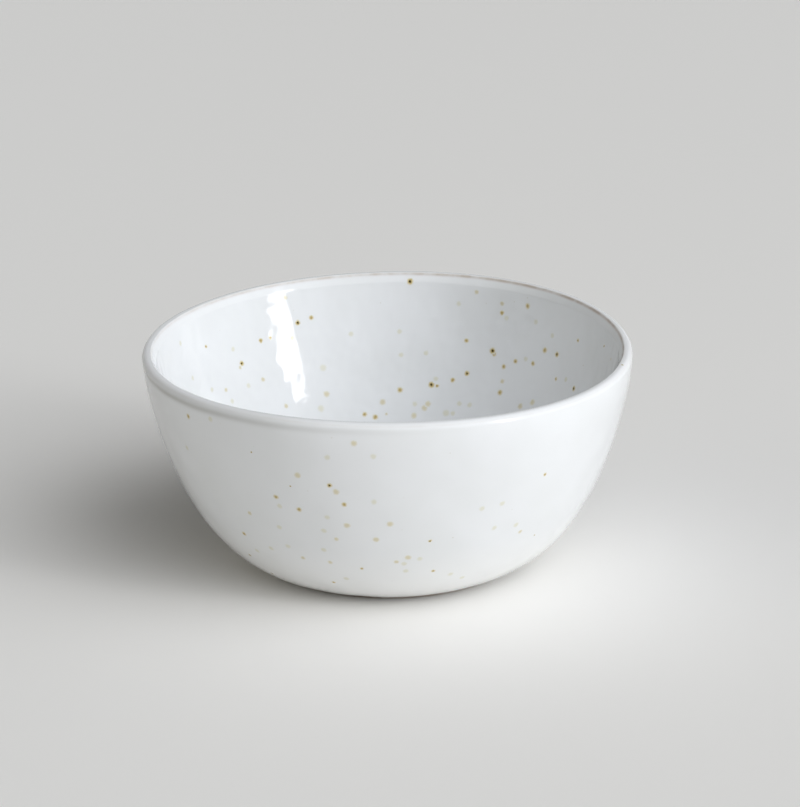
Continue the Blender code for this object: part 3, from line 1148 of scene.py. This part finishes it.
@dataclass
class SpeckPlan:
    """Where the specks are: those that the photograph shows, and as many again where it doesn't reach."""

    viewpoint: Viewpoint
    specks_per_area: float = 2200.0
    seed: int = 7
    kinds: ClassVar[tuple[SpeckKind, ...]] = tuple(SpeckKind)
    kind_weights: ClassVar[tuple[int, ...]] = (2, 4, 4, 5)
    least_radius: float = 0.00070
    most_radius: float = 0.00140
    same_place: float = 1e-6
    clear: float = 1e-4
    inside: ClassVar[tuple[SpeckGroup, ...]] = (
        SpeckGroup(SpeckKind.IRON, 0.00140, ((410, 281.5), (492.5, 350.8), (431.5, 384.8))),
        SpeckGroup(SpeckKind.IRON, 0.00115, (
            (467, 373.4), (556.9, 354.4), (573.7, 388.7), (297.7, 322.8), (241.8, 363.4),
        )),
        SpeckGroup(SpeckKind.IRON, 0.00060, ((604.1, 346.1),)),
        SpeckGroup(SpeckKind.OCHRE, 0.00125, (
            (527.6, 306.1), (544.8, 350.2), (375.3, 417), (499.9, 392.5), (400, 390),
        )),
        SpeckGroup(SpeckKind.OCHRE, 0.00108, (
            (502, 312.9), (466.4, 340.6), (494.2, 354), (515.5, 361.3), (503.7, 366.7), (532.9, 363.5),
            (452.6, 380.1), (364.6, 414.3), (311.2, 317.7), (260.7, 340.6),
        )),
        SpeckGroup(SpeckKind.OCHRE, 0.00085, (
            (578, 340.6), (555.9, 378.9), (270.2, 337.9), (205.9, 346.5), (437, 385.9), (164.7, 385.9),
        )),
        SpeckGroup(SpeckKind.PALE, 0.00130, (
            (382.7, 402), (326.5, 394), (520.2, 406.3), (532.4, 402.4), (413.9, 415.6), (424.4, 408),
            (427.8, 404),
        )),
        SpeckGroup(SpeckKind.PALE, 0.00100, (
            (476.6, 292.1), (502, 303.6), (263, 379.4), (226, 389.9), (292.3, 337.9), (286.2, 406.2),
            (240.3, 367.4), (285.2, 297.6), (502.3, 381.4),
        )),
        SpeckGroup(SpeckKind.PALE, 0.00065, ((386.4, 413.8), (610.9, 359.1))),
        SpeckGroup(SpeckKind.FAINT, 0.00150, ((320.9, 408.5), (323.2, 367.7), (446, 413))),
        SpeckGroup(SpeckKind.FAINT, 0.00110, (
            (458.7, 303.6), (506.5, 318), (552.4, 335.5), (459.3, 403.5), (469.5, 405), (232.3, 401.3),
            (233, 349.1), (399.5, 331.5), (426, 353), (401, 355), (351, 334), (435.7, 378.9),
            (248.5, 385.8), (452.8, 413.4), (180.4, 343.2), (192.7, 378), (212.1, 389.7), (525.7, 359),
            (535.9, 322), (565.8, 379.5), (414.8, 404),
        )),
    )
    outside: ClassVar[tuple[SpeckGroup, ...]] = (
        SpeckGroup(SpeckKind.IRON, 0.00110, ((329.4, 485.3),)),
        SpeckGroup(SpeckKind.IRON, 0.00075, ((250, 555.2), (430, 541), (272, 573.4))),
        SpeckGroup(SpeckKind.IRON, 0.00060, ((622.2, 364.8),)),
        SpeckGroup(SpeckKind.IRON, 0.00045, ((251.3, 452.3), (534.5, 535), (290.4, 486.1))),
        SpeckGroup(SpeckKind.OCHRE, 0.00115, (
            (188.3, 416.4), (344.1, 504.5), (299.1, 509.6), (276, 497), (244.1, 533.7),
        )),
        SpeckGroup(SpeckKind.OCHRE, 0.00085, ((361.8, 568.6), (333.7, 582.3), (433, 571), (545, 474.5))),
        SpeckGroup(SpeckKind.PALE, 0.00135, (
            (353.7, 443.4), (297.5, 475.4), (336.1, 492), (376, 539.6), (347, 525.5), (390, 524.1),
            (408, 557.5),
        )),
        SpeckGroup(SpeckKind.PALE, 0.00100, (
            (249.7, 513.2), (303.1, 557.9), (330.2, 562.4), (396.4, 561.9), (336.3, 539.1), (520.1, 531.8),
        )),
        SpeckGroup(SpeckKind.FAINT, 0.00120, (
            (210.3, 419.1), (187, 447.8), (279.5, 506), (279.2, 527.1), (327, 517.2), (323.8, 530.8),
            (288, 546.3), (271.2, 548.3), (257.2, 550.7), (323.8, 549.9), (346.2, 578.6), (419.8, 558.9),
            (374, 502), (327, 457.4), (373.3, 456.6), (482, 508.6), (502.4, 503.6), (494.4, 527.9),
            (450.5, 574.1), (462, 577.6), (404, 563.8), (405.7, 571), (516, 524.9),
        )),
    )

    def __post_init__(self) -> None:
        """Seeds the draws."""
        self.draws = random.Random(self.seed)

    def seen(self, coat: Coat, groups: tuple[SpeckGroup, ...]) -> list[Speck]:
        """The specks that the camera sees on a coat.

        Args:
            coat: The coat that the specks are in.
            groups: Their places in the photograph.

        Returns:
            The specks, each on the coat's surface.
        """
        specks = []
        for group in groups:
            for pixel in group.pixels:
                hit, middle, _, _ = coat.piece.ray_cast(self.viewpoint.place, self.viewpoint.sight(pixel))
                if hit:
                    specks.append(Speck(middle.copy(), group.radius, group.kind))
                else:
                    LOG.warning("no surface of %s at pixel %s", coat.name, pixel)
        return specks

    def unseen(self, coat: Glazed, blockers: tuple[Glazed, ...]) -> list[Speck]:
        """Specks drawn at random on the parts of a coat that the camera can't see.

        Args:
            coat: The coat that the specks are in.
            blockers: The coats that may stand between it and the camera.

        Returns:
            The specks, at the same density all over.
        """
        mesh = coat.piece.data
        centres = read(mesh.polygons, "center", 3)
        # Turning leaves the faces in another order each run, so they are ranked by their places.
        ranks = np.lexsort(np.round(centres / self.same_place).T)
        areas = (read(mesh.polygons, "area", 1)[:, 0] * coat.shown_faces())[ranks]
        count = round(float(areas.sum()) * self.specks_per_area)
        specks = []
        for index in self.draws.choices(ranks.tolist(), weights=areas.tolist(), k=count):
            face = mesh.polygons[index]
            kind = self.draws.choices(self.kinds, self.kind_weights)[0]
            radius = self.draws.uniform(self.least_radius, self.most_radius)
            toward = (self.viewpoint.place - face.center).normalized()
            start = face.center + self.clear * face.normal
            blocked = any(blocker.piece.ray_cast(start, toward)[0] for blocker in blockers)
            if blocked or face.normal.dot(toward) < 0:
                specks.append(Speck(face.center.copy(), radius, kind))
        return specks


@dataclass(frozen=True)
class Window:
    """A window light: where it hangs as seen from the bowl, how large it is and how bright."""

    name: str
    bearing: float
    rise: float
    away: float
    width: float
    height: float
    power: float

    def hang(self) -> None:
        """Hangs the light, facing the bowl."""
        flat = cos(self.rise)
        out = Vector((sin(self.bearing) * flat, -cos(self.bearing) * flat, sin(self.rise)))
        lamp = bpy.data.lights.new(self.name, "AREA")
        lamp.shape = "RECTANGLE"
        lamp.size = self.width
        lamp.size_y = self.height
        lamp.energy = self.power
        window = bpy.data.objects.new(self.name, lamp)
        bpy.context.scene.collection.objects.link(window)
        window.location = out * self.away
        window.rotation_euler = out.to_track_quat("Z", "Y").to_euler()
        window.visible_camera = False


@dataclass(frozen=True)
class LightSide:
    """Soft light from one side: where it comes from, its strength, how closely it keeps and its tint."""

    toward: tuple[float, float, float]
    strength: float
    focus: float
    tint: Colour


@dataclass
class Studio:
    """A pale floor in a room that is light on the right and in front, with a tall window."""

    floor_size: float = 14.0
    window: Window = Window("tall_window", radians(56), radians(16.4), 3.0, 0.53, 1.74, 24.0)
    sides: tuple[LightSide, ...] = (
        LightSide((1.0, -1.0, 1.4), 3.24, 7.0, (0.985, 1.0, 1.02)),
        LightSide((1.0, 0.0, 0.2), 0.58, 3.0, (0.985, 1.0, 1.02)),
        LightSide((-1.0, -0.3, 0.3), 1.10, 9.0, (1.0, 0.96, 0.86)),
    )
    backdrop: Colour = (0.42, 0.42, 0.42)
    backdrop_dim: Colour = (0.12, 0.12, 0.12)
    backdrop_behind: Colour = (0.62, 0.62, 0.64)
    backdrop_above: Colour = (0.55, 0.56, 0.58)
    backdrop_top: Span = (0.14, 0.24)
    rise_behind: float = 0.45
    behind_edge: Span = (0.0, 0.6)
    dim_edge: Span = (-0.7, 0.0)

    def build(self) -> None:
        """Lays the floor, hangs the window and lights the room."""
        self.lay_floor()
        self.window.hang()
        self.light_room()

    def lay_floor(self) -> None:
        """Lays the floor under the foot."""
        bpy.ops.object.select_all(action="DESELECT")
        bpy.ops.mesh.primitive_plane_add(size=self.floor_size)
        floor = bpy.context.object
        floor.name = "studio_floor"
        floor.data.materials.append(PaleFloor().material())

    def gathered(self, sheet: NodeSheet, look: Any) -> Any:
        """The light of all the sides, as a colour."""
        light = (0.0, 0.0, 0.0)
        for side in self.sides:
            along = Vector(side.toward).normalized()
            facing = sheet.vector("DOT_PRODUCT", look, along, "Value").at_least(0.0) ** side.focus
            tint = tuple(side.strength * part for part in side.tint)
            light = sheet.vector("ADD", light, sheet.vector("MULTIPLY", facing, tint))
        return light

    def light_room(self) -> None:
        """Lights the room. The camera sees a plain pale backdrop, and the glaze mirrors a soft one."""
        world = bpy.data.worlds.new("room")
        bpy.context.scene.world = world
        sheet = NodeSheet(world)
        look = sheet.place("Generated")
        path = sheet.node("ShaderNodeLightPath", {}, {}).outputs
        kinds = ("Camera", "Glossy", "Transmission")
        camera, mirrored, through = (Shade(sheet, path[f"Is {kind} Ray"]) for kind in kinds)
        seen = camera.at_least(mirrored).at_least(through)
        right, behind, up = (sheet.vector("DOT_PRODUCT", look, axis, "Value") for axis in Matrix.Identity(3))
        behind = behind.ramp(*self.behind_edge)
        low = 1 - (up - behind * self.rise_behind).ramp(*self.backdrop_top)
        backdrop = sheet.mixed(right.ramp(*self.dim_edge), self.backdrop_dim, self.backdrop)
        backdrop = sheet.mixed(behind, backdrop, self.backdrop_behind)
        shown = sheet.mixed(low, self.backdrop_above, backdrop)
        shown = sheet.mixed(camera, shown, self.backdrop_behind)
        light = sheet.mixed(seen, self.gathered(sheet, look), shown)
        room = sheet.node("ShaderNodeBackground", {}, {"Color": light, "Strength": 1.0})
        sheet.node("ShaderNodeOutputWorld", {}, {"Surface": room.outputs[0]})


def main() -> None:
    """Builds the bowl's pieces and the studio, in order."""
    logging.basicConfig(level=logging.INFO, format="%(name)s: %(message)s")
    bpy.context.scene.view_settings.view_transform = "Standard"
    viewpoint = Viewpoint()
    viewpoint.build()
    Studio().build()
    shape = ThrownShape()
    glaze = WhiteGlaze().material()
    clay = FiredClay().material()

    body = ClayBody(shape)
    body.build()
    body.dress(clay)
    patch = UndersidePatch(shape)
    patch.build()
    inside = InsideCoat(shape)
    inside.build()
    outside = OutsideCoat(shape)
    outside.build()
    bpy.context.view_layer.update()
    plan = SpeckPlan(viewpoint)
    inside.speckle(plan.seen(inside, plan.inside) + plan.unseen(inside, (inside, outside)))
    outside.speckle(plan.seen(outside, plan.outside) + plan.unseen(outside, (outside,)))
    patch.speckle(plan.unseen(patch, (outside,)))
    for coat in (inside, outside, patch):
        coat.dress(glaze)


if __name__ == "__main__":
    main()
